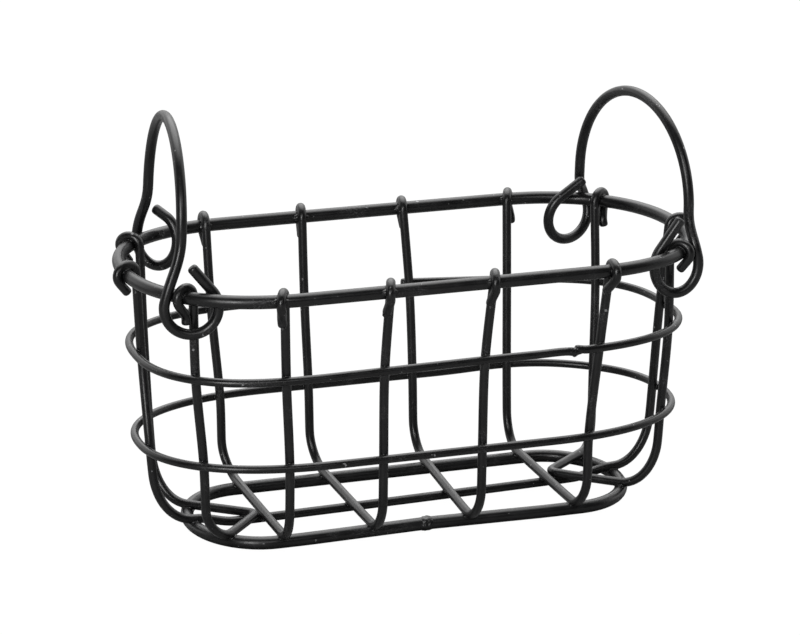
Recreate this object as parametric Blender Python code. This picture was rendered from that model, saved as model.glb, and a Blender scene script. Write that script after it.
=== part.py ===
# Small wire storage basket: an oval basket of welded round wire with two swinging handles.
# Metres, +Z up. X runs along the basket, -Y is its front, and it stands on Z = 0.
# Every wire is its own object, and crossing wires keep a small gap where they are welded.

from math import atan2, cos, pi, radians, sin, tan

import bpy
from mathutils import Matrix, Vector
from mathutils.geometry import interpolate_bezier

# Wire radii, and the gap between crossing wires
RIM_WIRE = 0.0020
BASE_WIRE = 0.0020
HANDLE_WIRE = 0.0016
RIB_WIRE = 0.0014
BAND_WIRE = 0.00125
GAP = 0.0003

# Rings: half length, half width and height of each centre-line; the base ring lies on the table
RIM_LENGTH = 0.0880
RIM_WIDTH = 0.0436
RIM_HEIGHT = 0.0829
UPPER_LENGTH = 0.0852
UPPER_WIDTH = 0.0399
UPPER_HEIGHT = 0.0570
LOWER_LENGTH = 0.0848
LOWER_WIDTH = 0.0375
LOWER_HEIGHT = 0.0292
BASE_LENGTH = 0.0693
BASE_WIDTH = 0.0248

# Straight share of each ring's length, and the power of its end: 2 is an ellipse, more is squarer
RIM_STRAIGHT_SHARE = 0.504
RIM_POWER = 2.23
UPPER_STRAIGHT_SHARE = 0.433
UPPER_POWER = 2.49
LOWER_STRAIGHT_SHARE = 0.397
LOWER_POWER = 2.28
BASE_STRAIGHT_SHARE = 0.700
BASE_POWER = 2.03

# The upper band is two wires that meet end to end, one a step higher at the front joint
FRONT_JOINT_SHARE = 0.475
BACK_JOINT_SHARE = 0.125
JOINT_STEP = 0.0012
JOINT_REACH = 0.0030

# Cross ribs, left to right: shares of half the rim's length and of half the base's length
CROSS_RIM_SHARES = (-0.590, -0.231, 0.147, 0.558)
CROSS_BASE_SHARES = (-0.685, -0.277, 0.195, 0.658)
# How far each cross rib's front leg and back leg stand to the right, at the bands and at the base
CROSS_BAND_SHIFTS = ((0.0009, -0.0015), (0.0007, -0.0012), (-0.0010, 0.0005), (0, -0.0010))
CROSS_BASE_SHIFTS = ((0, 0), (0, 0), (-0.0020, 0.0010), (0, 0))

# End ribs: shares of the half widths of the rim, upper, lower and base rings, front to back
LEFT_CORNER_SHARES = (-0.700, -0.710, -0.708, -0.775)
LEFT_LONG_SHARES = (-0.085, -0.100, -0.107, -0.160)
LEFT_SIDE_SHARES = (0.655, 0.590, 0.530, 0.380)
RIGHT_SIDE_SHARES = (-0.725, -0.590, -0.530, -0.540)
RIGHT_LONG_SHARES = (-0.080, -0.060, -0.020, 0.040)
RIGHT_CORNER_SHARES = (0.745, 0.722, 0.680, 0.660)

# Rise of each rib's lower bend, as a share of the lower band's height over the floor
CROSS_RISE_SHARE = 0.44
CORNER_RISE_SHARE = 0.40
SIDE_RISE_SHARE = 0.60
END_RISE_SHARE = 0.65
# Where a bend starts between the base ring and the lower band, and the long rib's step down
BEND_START_SHARE = 0.95
STEP_DOWN_SHARE = 0.60

# Corner ribs turn back on the floor: bend radius and place across the base's half width
TURN_RADIUS = 0.0025
LEFT_TURN_SHARE = -0.214
RIGHT_TURN_SHARE = 0.101

# Hooks on the rim: wrap past the horizontal, tail, and each cross rib's sideways lean as a share
# of the tail, front and back
HOOK_WRAP = radians(38)
HOOK_TAIL = 0.0045
HOOK_LEAN_SHARES = ((0.10, 0.0), (0.0, 0.0), (-0.25, 0.0), (-0.40, -0.30))
CORNER_LEAN_SHARE = -0.30

# Handles: half width, spring, top and outset of each arch over its hinge
LEFT_ARCH = (0.0305, 0.0173, 0.0453, 0.0034)
RIGHT_ARCH = (0.0307, 0.0114, 0.0422, 0.0038)
# Eyes round the rim: distance from the middle of the hinge, play inside, and how far past level a
# leg starts
EYE_REACH = 0.0352
EYE_PLAY = 0.0043
LEG_ANGLE = radians(19)

# Places of the eyes on the rim as shares of its half width
LEFT_EYE_SHARES = (-0.745, 0.865)
RIGHT_EYE_SHARES = (0.890, -0.745)
# Each eye was bent by hand: its turn towards square to the rim, and how far it closes past level
LEFT_EYE_BENDS = ((radians(-3.1), radians(43)), (radians(36.3), radians(72.4)))
RIGHT_EYE_BENDS = ((radians(2.9), radians(56.7)), (radians(12.5), radians(43.1)))
# Its half width, half height, cut tail, travel along the hinge, slide along the hinge and set into
# the basket, as shares of the eye's size, and its hang as a share of its half height
LEFT_EYE_FORM_SHARES = (
    (1.000, 1.008, 1.149, 0.051, -0.127, -0.055, 0.392),
    (0.809, 1.016, 0.558, 0.415, -0.089, 0.052, 0.197),
)
RIGHT_EYE_FORM_SHARES = (
    (1.129, 1.089, 1.099, -0.990, -0.283, 0.078, 0.487),
    (0.900, 1.106, 1.364, 0.227, 0.041, 0.045, 0.424),
)
# Each arch was bent by hand: tilt into the basket, lean along the hinge and twist
LEFT_STANCE = (radians(2.9), 0, radians(-0.2))
RIGHT_STANCE = (radians(0.4), radians(2.5), radians(-4.1))

# Steps along each shape, and bevel resolution of the wires
END_STEPS = 28
HOOK_STEPS = 11
BEND_STEPS = 7
STEP_STEPS = 5
TURN_STEPS = 4
ARCH_STEPS = 24
EYE_STEPS = 16
LEG_STEPS = 6
THICK_RESOLUTION = 3
THIN_RESOLUTION = 2

# A cut end is rounded: distance from its tip and radius, as shares of the wire's radius
CUT_END_SHARES = ((0.0, 0.45), (0.30, 0.86), (0.80, 1.0))
# Handles of a Bezier quarter turn, as a share of its radius
QUARTER_SHARE = 0.5523
# Handles of the Bezier between an eye and its arch, as a share of its length
LEG_ARM_SHARE = 0.40

UP = Vector((0, 0, 1))
# A bevelled curve has this many sides and lies on a flat one, so its centre is a little low
THICK_SIDES = 2 * THICK_RESOLUTION + 4
BASE_HEIGHT = BASE_WIRE * cos(pi / THICK_SIDES)


class Ring:
    """An oval with straight sides: the centre-line of a ring of wire."""

    def __init__(self, length, width, height, straight_share, power, wire):
        self.length = length
        self.width = width
        self.height = height
        self.straight = length * straight_share
        self.power = power
        self.wire = wire

    def end_points(self, end):
        """Points round one end, counter-clockwise seen from above: end is 1 at +X and -1 at -X."""
        points = []
        for step in range(END_STEPS + 1):
            angle = pi * step / END_STEPS - pi / 2
            along = self.straight + (self.length - self.straight) * abs(cos(angle)) ** (2 / self.power)
            across = self.width * abs(sin(angle)) ** (2 / self.power)
            points.append(Vector((end * along, end * (across if angle > 0 else -across), self.height)))
        return points

    def at_length(self, x, side):
        """Point at x: side is 1 on the back and -1 on the front."""
        past = max(abs(x) - self.straight, 0) / (self.length - self.straight)
        return Vector((x, side * self.width * (1 - past ** self.power) ** (1 / self.power), self.height))

    def at_share(self, share, end):
        """Point at a share of the half width: end is 1 at +X and -1 at -X."""
        past = (1 - abs(share) ** self.power) ** (1 / self.power)
        along = self.straight + (self.length - self.straight) * past
        return Vector((end * along, share * self.width, self.height))

    def outward(self, point):
        """Level direction that leads out of the ring at one of its points."""
        reach = self.length - self.straight
        past = max(abs(point.x) - self.straight, 0) / reach
        slope_x = past ** (self.power - 1) / reach
        slope_y = abs(point.y / self.width) ** (self.power - 1) / self.width
        return Vector((slope_x if point.x > 0 else -slope_x, slope_y if point.y > 0 else -slope_y, 0)).normalized()

    def inside(self, point):
        """Where a rib passes the ring on its inner side."""
        return point - self.outward(point) * (self.wire + RIB_WIRE + GAP)


RIM = Ring(RIM_LENGTH, RIM_WIDTH, RIM_HEIGHT, RIM_STRAIGHT_SHARE, RIM_POWER, RIM_WIRE)
UPPER = Ring(UPPER_LENGTH, UPPER_WIDTH, UPPER_HEIGHT, UPPER_STRAIGHT_SHARE, UPPER_POWER, BAND_WIRE)
LOWER = Ring(LOWER_LENGTH, LOWER_WIDTH, LOWER_HEIGHT, LOWER_STRAIGHT_SHARE, LOWER_POWER, BAND_WIRE)
BASE = Ring(BASE_LENGTH, BASE_WIDTH, BASE_HEIGHT, BASE_STRAIGHT_SHARE, BASE_POWER, BASE_WIRE)

# Ribs lie on the base ring, and the long rib crosses below the others
FLOOR = BASE_HEIGHT + BASE_WIRE + RIB_WIRE + GAP
CROSSING = 2 * RIB_WIRE + GAP


def coat(name):
    """Satin black powder coat."""
    material = bpy.data.materials.new(name)
    material.use_nodes = True
    shader = material.node_tree.nodes["Principled BSDF"]
    shader.inputs["Base Color"].default_value = (0.012, 0.012, 0.013, 1)
    shader.inputs["Roughness"].default_value = 0.42
    shader.inputs["Metallic"].default_value = 0.0
    return material


def cut_end(points, wire):
    """Round the first end of a cut wire: returns its new points and their radius shares."""
    direction = (points[1] - points[0]).normalized()
    tip = [points[0] + direction * wire * place for place, _ in CUT_END_SHARES]
    radii = [radius for _, radius in CUT_END_SHARES]
    return tip + points[1:], radii


def wire_object(name, points, wire, resolution, closed=False):
    """A round wire along its centre-line, as a bevelled curve."""
    radii = [1.0] * len(points)
    if not closed:
        points, first_radii = cut_end(points, wire)
        points, last_radii = cut_end(points[::-1], wire)
        points = points[::-1]
        middle = len(points) - len(first_radii) - len(last_radii)
        radii = first_radii + [1.0] * middle + last_radii[::-1]
    curve = bpy.data.curves.new(name, "CURVE")
    curve.dimensions = "3D"
    curve.bevel_depth = wire
    curve.bevel_resolution = resolution
    curve.render_resolution_u = 0
    curve.use_fill_caps = not closed
    spline = curve.splines.new("POLY")
    spline.points.add(len(points) - 1)
    spline.use_cyclic_u = closed
    spline.use_smooth = True
    for spline_point, point, radius in zip(spline.points, points, radii):
        spline_point.co = (point.x, point.y, point.z, 1)
        spline_point.radius = radius
    curve.materials.append(coat(name + "_coat"))
    wire_part = bpy.data.objects.new(name, curve)
    bpy.context.collection.objects.link(wire_part)
    return wire_part


def ring_wire(name, ring, resolution):
    """A ring of wire, welded end to end."""
    return wire_object(name, ring.end_points(1) + ring.end_points(-1), ring.wire, resolution, closed=True)


def upper_band(name, end):
    """One half of the upper band, between its front joint and its back joint."""
    joint_space = GAP / 2
    front = UPPER.at_length(UPPER_LENGTH * FRONT_JOINT_SHARE + end * joint_space, -1)
    back = UPPER.at_length(UPPER_LENGTH * BACK_JOINT_SHARE + end * joint_space, 1)
    front.z += end * JOINT_STEP / 2
    points = [point for point in UPPER.end_points(end) if end * (point.x - joint_of(point)) > JOINT_REACH]
    if end < 0:
        points.reverse()
    return wire_object(name, [front] + points + [back], BAND_WIRE, THIN_RESOLUTION)


def joint_of(point):
    """Place along the basket of the upper band's joint on the side where a point lies."""
    return UPPER_LENGTH * (FRONT_JOINT_SHARE if point.y < 0 else BACK_JOINT_SHARE)


def hook(place, lean_share):
    """Hook over the rim, from its cut tail over the top to the rim's inner side."""
    reach = RIM_WIRE + RIB_WIRE + GAP
    outward = RIM.outward(place)
    along = UP.cross(outward)
    arc = []
    for step in range(HOOK_STEPS + 1):
        angle = (pi + HOOK_WRAP) * step / HOOK_STEPS - HOOK_WRAP
        arc.append(place + outward * reach * cos(angle) + UP * reach * sin(angle))
    leaving = -outward * sin(HOOK_WRAP) - UP * cos(HOOK_WRAP) + along * lean_share
    return [arc[0] + leaving * HOOK_TAIL] + arc


def leg(places, rise_share, inward, lean_share):
    """One leg of a rib, from its hook down inside the bands to its foot on the base ring."""
    rim_place, upper_place, lower_place, base_place = places
    low = LOWER.inside(lower_place)
    foot = Vector((base_place.x, base_place.y, FLOOR))
    rise = (low.z - FLOOR) * rise_share
    start = foot.lerp(low, BEND_START_SHARE)
    start.z = FLOOR + rise
    run = (start - foot).xy.length
    down = (start - low).normalized()
    bend = interpolate_bezier(
        start,
        start + down * rise * QUARTER_SHARE,
        foot - inward * run * QUARTER_SHARE,
        foot,
        BEND_STEPS + 1,
    )
    return hook(rim_place, lean_share) + [UPPER.inside(upper_place), low] + [point.copy() for point in bend]


def cross_leg(number, side):
    """Front (side -1) or back (side 1) leg of a cross rib."""
    rim_x = RIM_LENGTH * CROSS_RIM_SHARES[number]
    base_x = BASE_LENGTH * CROSS_BASE_SHARES[number]
    way = 0 if side < 0 else 1
    band_shift = CROSS_BAND_SHIFTS[number][way]
    base_shift = CROSS_BASE_SHIFTS[number][way]
    places = []
    for ring, shift in zip((RIM, UPPER, LOWER, BASE), (0, band_shift, band_shift, base_shift)):
        share = (ring.height - BASE.height) / (RIM.height - BASE.height)
        places.append(ring.at_length(base_x + (rim_x - base_x) * share + shift, side))
    lean_share = HOOK_LEAN_SHARES[number][way]
    return leg(places, CROSS_RISE_SHARE, Vector((0, -side, 0)), lean_share)


def cross_rib(name, number):
    """A rib across the basket: a hook and a leg on each side, and a run over the floor."""
    points = cross_leg(number, -1) + cross_leg(number, 1)[::-1]
    return wire_object(name, points, RIB_WIRE, THIN_RESOLUTION)


def end_places(shares, end):
    """Places where an end rib passes the four rings."""
    return [ring.at_share(share, end) for ring, share in zip((RIM, UPPER, LOWER, BASE), shares)]


def step_down(foot, inward, length):
    """The long rib's step from the base ring down to below the other ribs."""
    points = []
    for step in range(1, STEP_STEPS + 1):
        share = step / STEP_STEPS
        points.append(foot + inward * length * share - UP * CROSSING * (1 - cos(pi * share)) / 2)
    return points


def long_rib():
    """The rib along the basket, hooked over both ends of the rim."""
    left_places = end_places(LEFT_LONG_SHARES, -1)
    right_places = end_places(RIGHT_LONG_SHARES, 1)
    rightward = (right_places[-1] - left_places[-1]).normalized()
    left = leg(left_places, END_RISE_SHARE, rightward, 0)
    right = leg(right_places, END_RISE_SHARE, -rightward, 0)
    left_length = (BASE_LENGTH + BASE_LENGTH * CROSS_BASE_SHARES[0]) * STEP_DOWN_SHARE
    right_length = (BASE_LENGTH - BASE_LENGTH * CROSS_BASE_SHARES[-1]) * STEP_DOWN_SHARE
    points = left + step_down(left[-1], rightward, left_length)
    points += (right + step_down(right[-1], -rightward, right_length))[::-1]
    return wire_object("long_rib", points, RIB_WIRE, THIN_RESOLUTION)


def turn(before, corner, after):
    """Rounded corner of a wire on the floor."""
    to_before = (before - corner).normalized()
    to_after = (after - corner).normalized()
    cut = TURN_RADIUS / tan(to_before.angle(to_after) / 2)
    first = corner + to_before * cut
    last = corner + to_after * cut
    return interpolate_bezier(first, first.lerp(corner, QUARTER_SHARE), last.lerp(corner, QUARTER_SHARE), last,
                              TURN_STEPS + 1)


def corner_rib(name, end, front_shares, back_shares, front_rise, back_rise, turn_share, leans):
    """A V-shaped rib at one end: two hooked legs, and a turn on the floor beside the nearest cross rib."""
    nearest = BASE_LENGTH * CROSS_BASE_SHARES[0 if end < 0 else -1]
    corner = Vector((nearest + end * CROSSING, BASE_WIDTH * turn_share, FLOOR))
    legs = []
    for shares, rise_share, lean_share in zip((front_shares, back_shares), (front_rise, back_rise), leans):
        places = end_places(shares, end)
        foot = Vector((places[-1].x, places[-1].y, FLOOR))
        legs.append(leg(places, rise_share, (corner - foot).normalized(), lean_share))
    front, back = legs
    points = front + [point.copy() for point in turn(front[-1], corner, back[-1])] + back[::-1]
    return wire_object(name, points, RIB_WIRE, THIN_RESOLUTION)


def eye(side, bends, form_shares):
    """One eye of a handle, from its cut tail round below the rim to where its leg starts.

    Handle places are (into the basket, along the hinge, up) from the middle of the hinge. An eye is
    turned from square to the hinge towards square to the rim.
    """
    turned, closing = bends
    size = RIM_WIRE + HANDLE_WIRE + EYE_PLAY
    width, height, tail, travel, slide, into, _ = [size * share for share in form_shares]
    hang = height * form_shares[-1]
    middle = EYE_REACH + slide
    last = -pi - LEG_ANGLE
    points = []
    for step in range(EYE_STEPS + 1):
        share = step / EYE_STEPS
        angle = closing + (last - closing) * share
        along = middle + travel * (0.5 - share)
        points.append(Vector((into + width * cos(angle), side * along, height * sin(angle) - hang)))
    leaving = (points[0] - points[1]).normalized()
    points.insert(0, points[0] + leaving * tail)
    centre = Vector((into, side * middle, 0))
    turning = Matrix.Rotation(-side * turned, 3, "Z")
    return [centre + turning @ (point - centre) for point in points]


def arch(sizes, stance):
    """The arch of a handle, from its first spring over the top to its second spring."""
    half_width, spring, top, outset = sizes
    tilt, lean, twist = stance
    points = []
    for step in range(ARCH_STEPS + 1):
        angle = pi * step / ARCH_STEPS
        along = -half_width * cos(angle)
        up = spring + (top - spring) * sin(angle)
        into = up * tan(tilt) + along * tan(twist) - outset
        points.append(Vector((into, along + up * tan(lean), up)))
    return points


def handle_leg(eye_end, spring, spring_way):
    """The stretch of a handle between its eye and its arch."""
    arm = (spring - eye_end[-1]).length * LEG_ARM_SHARE
    leaving = (eye_end[-1] - eye_end[-2]).normalized()
    path = interpolate_bezier(
        eye_end[-1],
        eye_end[-1] + leaving * arm,
        spring - spring_way * arm,
        spring,
        LEG_STEPS + 1,
    )
    return [point.copy() for point in path[1:-1]]


def handle_wire(crown, bends, form_shares):
    """Centre-line of a handle from one cut tail to the other."""
    first = eye(-1, bends[0], form_shares[0])
    second = eye(1, bends[1], form_shares[1])
    first_leg = handle_leg(first, crown[0], (crown[1] - crown[0]).normalized())
    second_leg = handle_leg(second, crown[-1], (crown[-2] - crown[-1]).normalized())
    return first + first_leg + crown + second_leg[::-1] + second[::-1]


def handle(name, end, eye_shares, points):
    """A handle with its origin in the middle of its hinge, which runs through both eyes."""
    first_eye, second_eye = [RIM.at_share(share, end) for share in eye_shares]
    hinge = (second_eye - first_eye).normalized()
    grip = wire_object(name, points, HANDLE_WIRE, THICK_RESOLUTION)
    grip.location = (first_eye + second_eye) / 2
    grip.rotation_euler.z = atan2(-hinge.x, hinge.y)
    return grip


def clear_scene():
    """Remove the objects that the file opened with."""
    for old in list(bpy.data.objects):
        bpy.data.objects.remove(old, do_unlink=True)


def main():
    """Build the basket, wire by wire."""
    clear_scene()
    ring_wire("rim_ring", RIM, THICK_RESOLUTION)
    upper_band("upper_band_left", -1)
    upper_band("upper_band_right", 1)
    ring_wire("lower_band", LOWER, THIN_RESOLUTION)
    ring_wire("base_ring", BASE, THICK_RESOLUTION)
    names = ("cross_rib_far_left", "cross_rib_left", "cross_rib_right", "cross_rib_far_right")
    for number, name in enumerate(names):
        cross_rib(name, number)
    long_rib()
    corner_rib("corner_rib_left", -1, LEFT_CORNER_SHARES, LEFT_SIDE_SHARES,
               CORNER_RISE_SHARE, SIDE_RISE_SHARE, LEFT_TURN_SHARE, (0, 0))
    corner_rib("corner_rib_right", 1, RIGHT_SIDE_SHARES, RIGHT_CORNER_SHARES,
               SIDE_RISE_SHARE, CORNER_RISE_SHARE, RIGHT_TURN_SHARE, (0, CORNER_LEAN_SHARE))
    left_crown = arch(LEFT_ARCH, LEFT_STANCE)
    handle("left_handle", -1, LEFT_EYE_SHARES, handle_wire(left_crown, LEFT_EYE_BENDS, LEFT_EYE_FORM_SHARES))
    right_crown = arch(RIGHT_ARCH, RIGHT_STANCE)
    handle("right_handle", 1, RIGHT_EYE_SHARES, handle_wire(right_crown, RIGHT_EYE_BENDS, RIGHT_EYE_FORM_SHARES))


main()
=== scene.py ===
"""Looks of a small wire storage basket: welded wires under a satin black powder coat.

Metres, +Z up, -Y is the front. The routes of the wires repeat the model's own sizes.
"""

from math import atan2, cos, pi, radians, sin, tan

import bpy
import numpy as np
from mathutils import Matrix, Vector, noise
from mathutils.geometry import interpolate_bezier


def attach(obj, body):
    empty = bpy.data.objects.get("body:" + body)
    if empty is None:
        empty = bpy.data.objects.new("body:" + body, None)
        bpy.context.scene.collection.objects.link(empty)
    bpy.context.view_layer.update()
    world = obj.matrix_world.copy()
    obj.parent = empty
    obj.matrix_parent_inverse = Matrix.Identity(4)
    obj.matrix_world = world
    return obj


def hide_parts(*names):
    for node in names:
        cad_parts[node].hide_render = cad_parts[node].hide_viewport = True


# Wire radii
RIM_WIRE = 0.0020
BASE_WIRE = 0.0020
HANDLE_WIRE = 0.0016
RIB_WIRE = 0.0014
BAND_WIRE = 0.00125

# Rings: half length, half width and height of each centre-line
RIM_SIZE = (0.0880, 0.0436, 0.0829)
UPPER_SIZE = (0.0852, 0.0399, 0.0570)
LOWER_SIZE = (0.0848, 0.0375, 0.0292)
BASE_SIZE = (0.0693, 0.0248, 0.0020)
# Straight share of each ring's length, and the power of its end
RIM_FORM = (0.504, 2.23)
UPPER_FORM = (0.433, 2.49)
LOWER_FORM = (0.397, 2.28)
BASE_FORM = (0.700, 2.03)

# The upper band's joints, and how far its right half stands above its left half at the front
FRONT_JOINT_SHARE = 0.475
BACK_JOINT_SHARE = 0.125
JOINT_STEP = 0.0012
JOINT_REACH = 0.0030
# The right half's back end: how high it stands off the left half's, how far along that fades, in how
# many steps, and the gap past the left half's end
BACK_LIFT = 0.00265
BACK_LIFT_REACH = 0.042
BACK_LIFT_STEPS = 8
BACK_GAP = 0.0009
# How far each half, left and right, reaches past the front joint; how high the band's front rises
# towards it, and between which places along the basket
JOINT_OVERLAPS = (0.0002, 0.0005)
FRONT_LIFT = 0.0009
FRONT_LIFT_SPAN = (-0.065, 0.015)
# How far the lower band's back rises towards the right: the most, its place along, how far that fades,
# and the number of steps along the back
LOWER_LIFT = 0.0007
LOWER_LIFT_PLACE = 0.052
LOWER_LIFT_REACH = 0.030
LOWER_LIFT_STEPS = 16
# The base ring's butt weld at the front: its place along, how far it stands in, how far that fades, and
# the pace of the points there
BEAD_PLACE = -0.0011
BEAD_INSET = 0.0015
BEAD_INSET_REACH = 0.038
BEAD_STEP = 0.004

# Ribs: where each passes the rim, upper band, lower band and base, as shares of their half lengths for
# the cross ribs and of their half widths for the others; the shifts are metres, front and back
CROSS_RIM_SHARES = (-0.590, -0.231, 0.147, 0.558)
CROSS_BASE_SHARES = (-0.685, -0.277, 0.195, 0.658)
CROSS_UPPER_SHIFTS = ((0.0009, -0.0015), (0.0007, -0.0012), (-0.0010, 0.0005), (0.0010, -0.0015))
CROSS_LOWER_SHIFTS = ((0.0009, -0.0015), (0.0007, -0.0012), (-0.0010, 0.0005), (0.0004, -0.0010))
CROSS_BASE_SHIFTS = ((0, 0), (0, 0), (-0.0020, 0.0010), (0, 0))
LEFT_CORNER_SHARES = (-0.700, -0.710, -0.708, -0.775)
LEFT_LONG_SHARES = (-0.085, 0.055, -0.107, -0.160)
LEFT_SIDE_SHARES = (0.655, 0.618, 0.550, 0.380)
RIGHT_SIDE_SHARES = (-0.725, -0.625, -0.575, -0.555)
RIGHT_LONG_SHARES = (-0.080, -0.035, 0.060, 0.055)
RIGHT_CORNER_SHARES = (0.745, 0.738, 0.710, 0.660)
# The bend at a leg's foot: its rise towards the lower band, where it starts, and the long rib's step down
CROSS_RISE_SHARE = 0.44
CORNER_RISE_SHARE = 0.40
SIDE_RISE_SHARE = 0.60
END_RISE_SHARE = 0.65
BEND_START_SHARE = 0.95
STEP_DOWN_SHARE = 0.60
# The V-shaped ribs' turn on the floor: its radius and its place across
TURN_RADIUS = 0.0025
LEFT_TURN_SHARE = -0.214
RIGHT_TURN_SHARE = 0.101

# Hooks on the rim: slide along it, skew from inside to outside, sink of the crown, length tucked in,
# length hanging, lean share
HOOK_WRAP = radians(38)
CROSS_HOOKS = (
    ((0, -0.0011, 0.0008, 0.0050, 0.0020, 0.12), (0, -0.0006, 0, 0.0056, 0, 0.0)),
    ((0.0010, -0.0011, 0.0006, 0.0058, 0.0004, 0.0), (0, -0.0006, 0.0003, 0.0056, 0, 0.10)),
    ((0, -0.0009, 0.0006, 0.0056, 0.0010, -0.05), (0, -0.0006, 0.0007, 0.0056, 0, 0.0)),
    ((0.0013, -0.0004, 0.0011, 0.0056, 0.0004, -0.28), (0.0007, -0.0011, 0.0010, 0.0050, 0.0018, -0.03)),
)
LONG_HOOKS = ((-0.0016, 0.0014, 0.0003, 0.0045, 0, 0), (0, 0, 0.0003, 0.0045, 0, 0))
LEFT_CORNER_HOOKS = ((0, -0.0006, 0.0004, 0.0052, 0.0024, 0.03), (0, 0, 0.0003, 0.0045, 0, 0))
RIGHT_CORNER_HOOKS = ((0, 0, 0.0003, 0.0045, 0, 0), (0, -0.0004, 0.0004, 0.0050, 0.0022, -0.20))

# Handles: half width, spring, top and outset of each arch, then its tilt, lean and twist
LEFT_ARCH = (0.0305, 0.0173, 0.0453, 0.0034)
RIGHT_ARCH = (0.0307, 0.0114, 0.0422, 0.0038)
LEFT_STANCE = (radians(2.9), 0, radians(-0.2))
RIGHT_STANCE = (radians(0.4), radians(2.5), radians(-4.1))
# Eyes: places on the rim, turn and closing, and form as shares of the eye's size
EYE_REACH = 0.0352
EYE_PLAY = 0.0043
LEG_ANGLE = radians(19)
LEFT_EYE_SHARES = (-0.745, 0.865)
RIGHT_EYE_SHARES = (0.890, -0.745)
LEFT_EYE_BENDS = ((radians(-3.1), radians(43)), (radians(36.3), radians(72.4)))
RIGHT_EYE_BENDS = ((radians(2.9), radians(56.7)), (radians(12.5), radians(43.1)))
LEFT_EYE_FORM_SHARES = (
    (1.000, 1.008, 1.149, 0.051, -0.127, -0.055, 0.392),
    (0.809, 1.016, 0.558, 0.415, -0.089, 0.052, 0.197),
)
RIGHT_EYE_FORM_SHARES = (
    (1.129, 1.089, 1.099, -0.990, -0.283, 0.078, 0.487),
    (0.900, 1.106, 1.364, 0.227, 0.041, 0.045, 0.424),
)

# How far a weld sinks one wire into the other: on the floor, at the bands and under the hooks
FLOOR_SINK = 0.0009
BAND_SINK = 0.00045
HOOK_SINK = 0.00012

# Fineness of the shapes: steps of each curve, then the pace of the points along the finished wires
END_STEPS = 60
HOOK_STEPS = 18
BEND_STEPS = 12
STEP_STEPS = 8
TURN_STEPS = 8
ARCH_STEPS = 48
EYE_STEPS = 30
LEG_STEPS = 10
WIRE_RESOLUTION = 10
WELD_RESOLUTION = 6
RING_PACE = 0.0010
RIB_PACE = 0.0006
# Knots closer than this share of the pace are dropped; steps of the smooth curve in one pace
KNOT_GAP_SHARE = 0.2
STEPS_PER_PACE = 4
# Arms of the curves: a quarter circle's, and a handle leg's
QUARTER_SHARE = 0.5523
LEG_ARM_SHARE = 0.40
# Edges of a cut end sharper than this stay sharp
CREASE_ANGLE = radians(50)
# A cut end: distance from the tip and radius, as shares of the wire's radius; and how clear of it the
# wire's own points stay
CUT_MARGIN = 1.05
CUT_END = ((0.0, 0.52), (0.05, 0.70), (0.14, 0.83), (0.28, 0.93), (0.46, 0.985), (0.70, 1.0))

UP = Vector((0, 0, 1))


class Ring:
    """An oval with straight sides: the centre-line of a ring of wire."""

    def __init__(self, size, form, wire):
        self.length, self.width, self.height = size
        self.straight = self.length * form[0]
        self.power = form[1]
        self.wire = wire

    def end_points(self, end):
        """Points round one end, counter-clockwise seen from above."""
        points = []
        for step in range(END_STEPS + 1):
            angle = pi * step / END_STEPS - pi / 2
            along = self.straight + (self.length - self.straight) * abs(cos(angle)) ** (2 / self.power)
            across = self.width * abs(sin(angle)) ** (2 / self.power)
            points.append(Vector((end * along, end * (across if angle > 0 else -across), self.height)))
        return points

    def at_length(self, x, side):
        """Point at x on the back (side 1) or the front (side -1)."""
        past = max(abs(x) - self.straight, 0) / (self.length - self.straight)
        return Vector((x, side * self.width * (1 - past ** self.power) ** (1 / self.power), self.height))

    def at_share(self, share, end):
        """Point at a share of the half width, on the right (end 1) or the left (end -1)."""
        past = (1 - abs(share) ** self.power) ** (1 / self.power)
        along = self.straight + (self.length - self.straight) * past
        return Vector((end * along, share * self.width, self.height))

    def outward(self, point):
        """Level direction that leads out of the ring at one of its points."""
        reach = self.length - self.straight
        past = max(abs(point.x) - self.straight, 0) / reach
        slope_x = past ** (self.power - 1) / reach * (1 if point.x > 0 else -1)
        slope_y = abs(point.y / self.width) ** (self.power - 1) / self.width * (1 if point.y > 0 else -1)
        return Vector((slope_x, slope_y, 0)).normalized()

    def inside(self, point):
        """Where a rib passes the ring on its inner side."""
        return point - self.outward(point) * (self.wire + RIB_WIRE - BAND_SINK)


RIM = Ring(RIM_SIZE, RIM_FORM, RIM_WIRE)
UPPER = Ring(UPPER_SIZE, UPPER_FORM, BAND_WIRE)
LOWER = Ring(LOWER_SIZE, LOWER_FORM, BAND_WIRE)
BASE = Ring(BASE_SIZE, BASE_FORM, BASE_WIRE)
FLOOR = BASE.height + BASE_WIRE + RIB_WIRE - FLOOR_SINK
CROSSING = 2 * RIB_WIRE - BAND_SINK


def hook(place, form):
    """Hook over the rim, from its cut tail over the top to the rim's inner side."""
    slide, skew, sink, tuck, hang, lean_share = form
    reach = RIM_WIRE + RIB_WIRE - HOOK_SINK
    outward = RIM.outward(place)
    along = UP.cross(outward)
    arc = []
    for step in range(HOOK_STEPS + 1):
        angle = (pi + HOOK_WRAP) * step / HOOK_STEPS - HOOK_WRAP
        shift = along * (slide + skew * cos(angle))
        rise = reach - sink if angle > 0 else reach
        arc.append(place + shift + outward * reach * cos(angle) + UP * rise * sin(angle))
    leaving = -outward * sin(HOOK_WRAP) - UP * cos(HOOK_WRAP) + along * lean_share
    tail = [arc[0] + leaving * tuck]
    if hang:
        tail.insert(0, tail[0] + (along * lean_share - UP) * hang)
    return tail + arc


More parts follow.
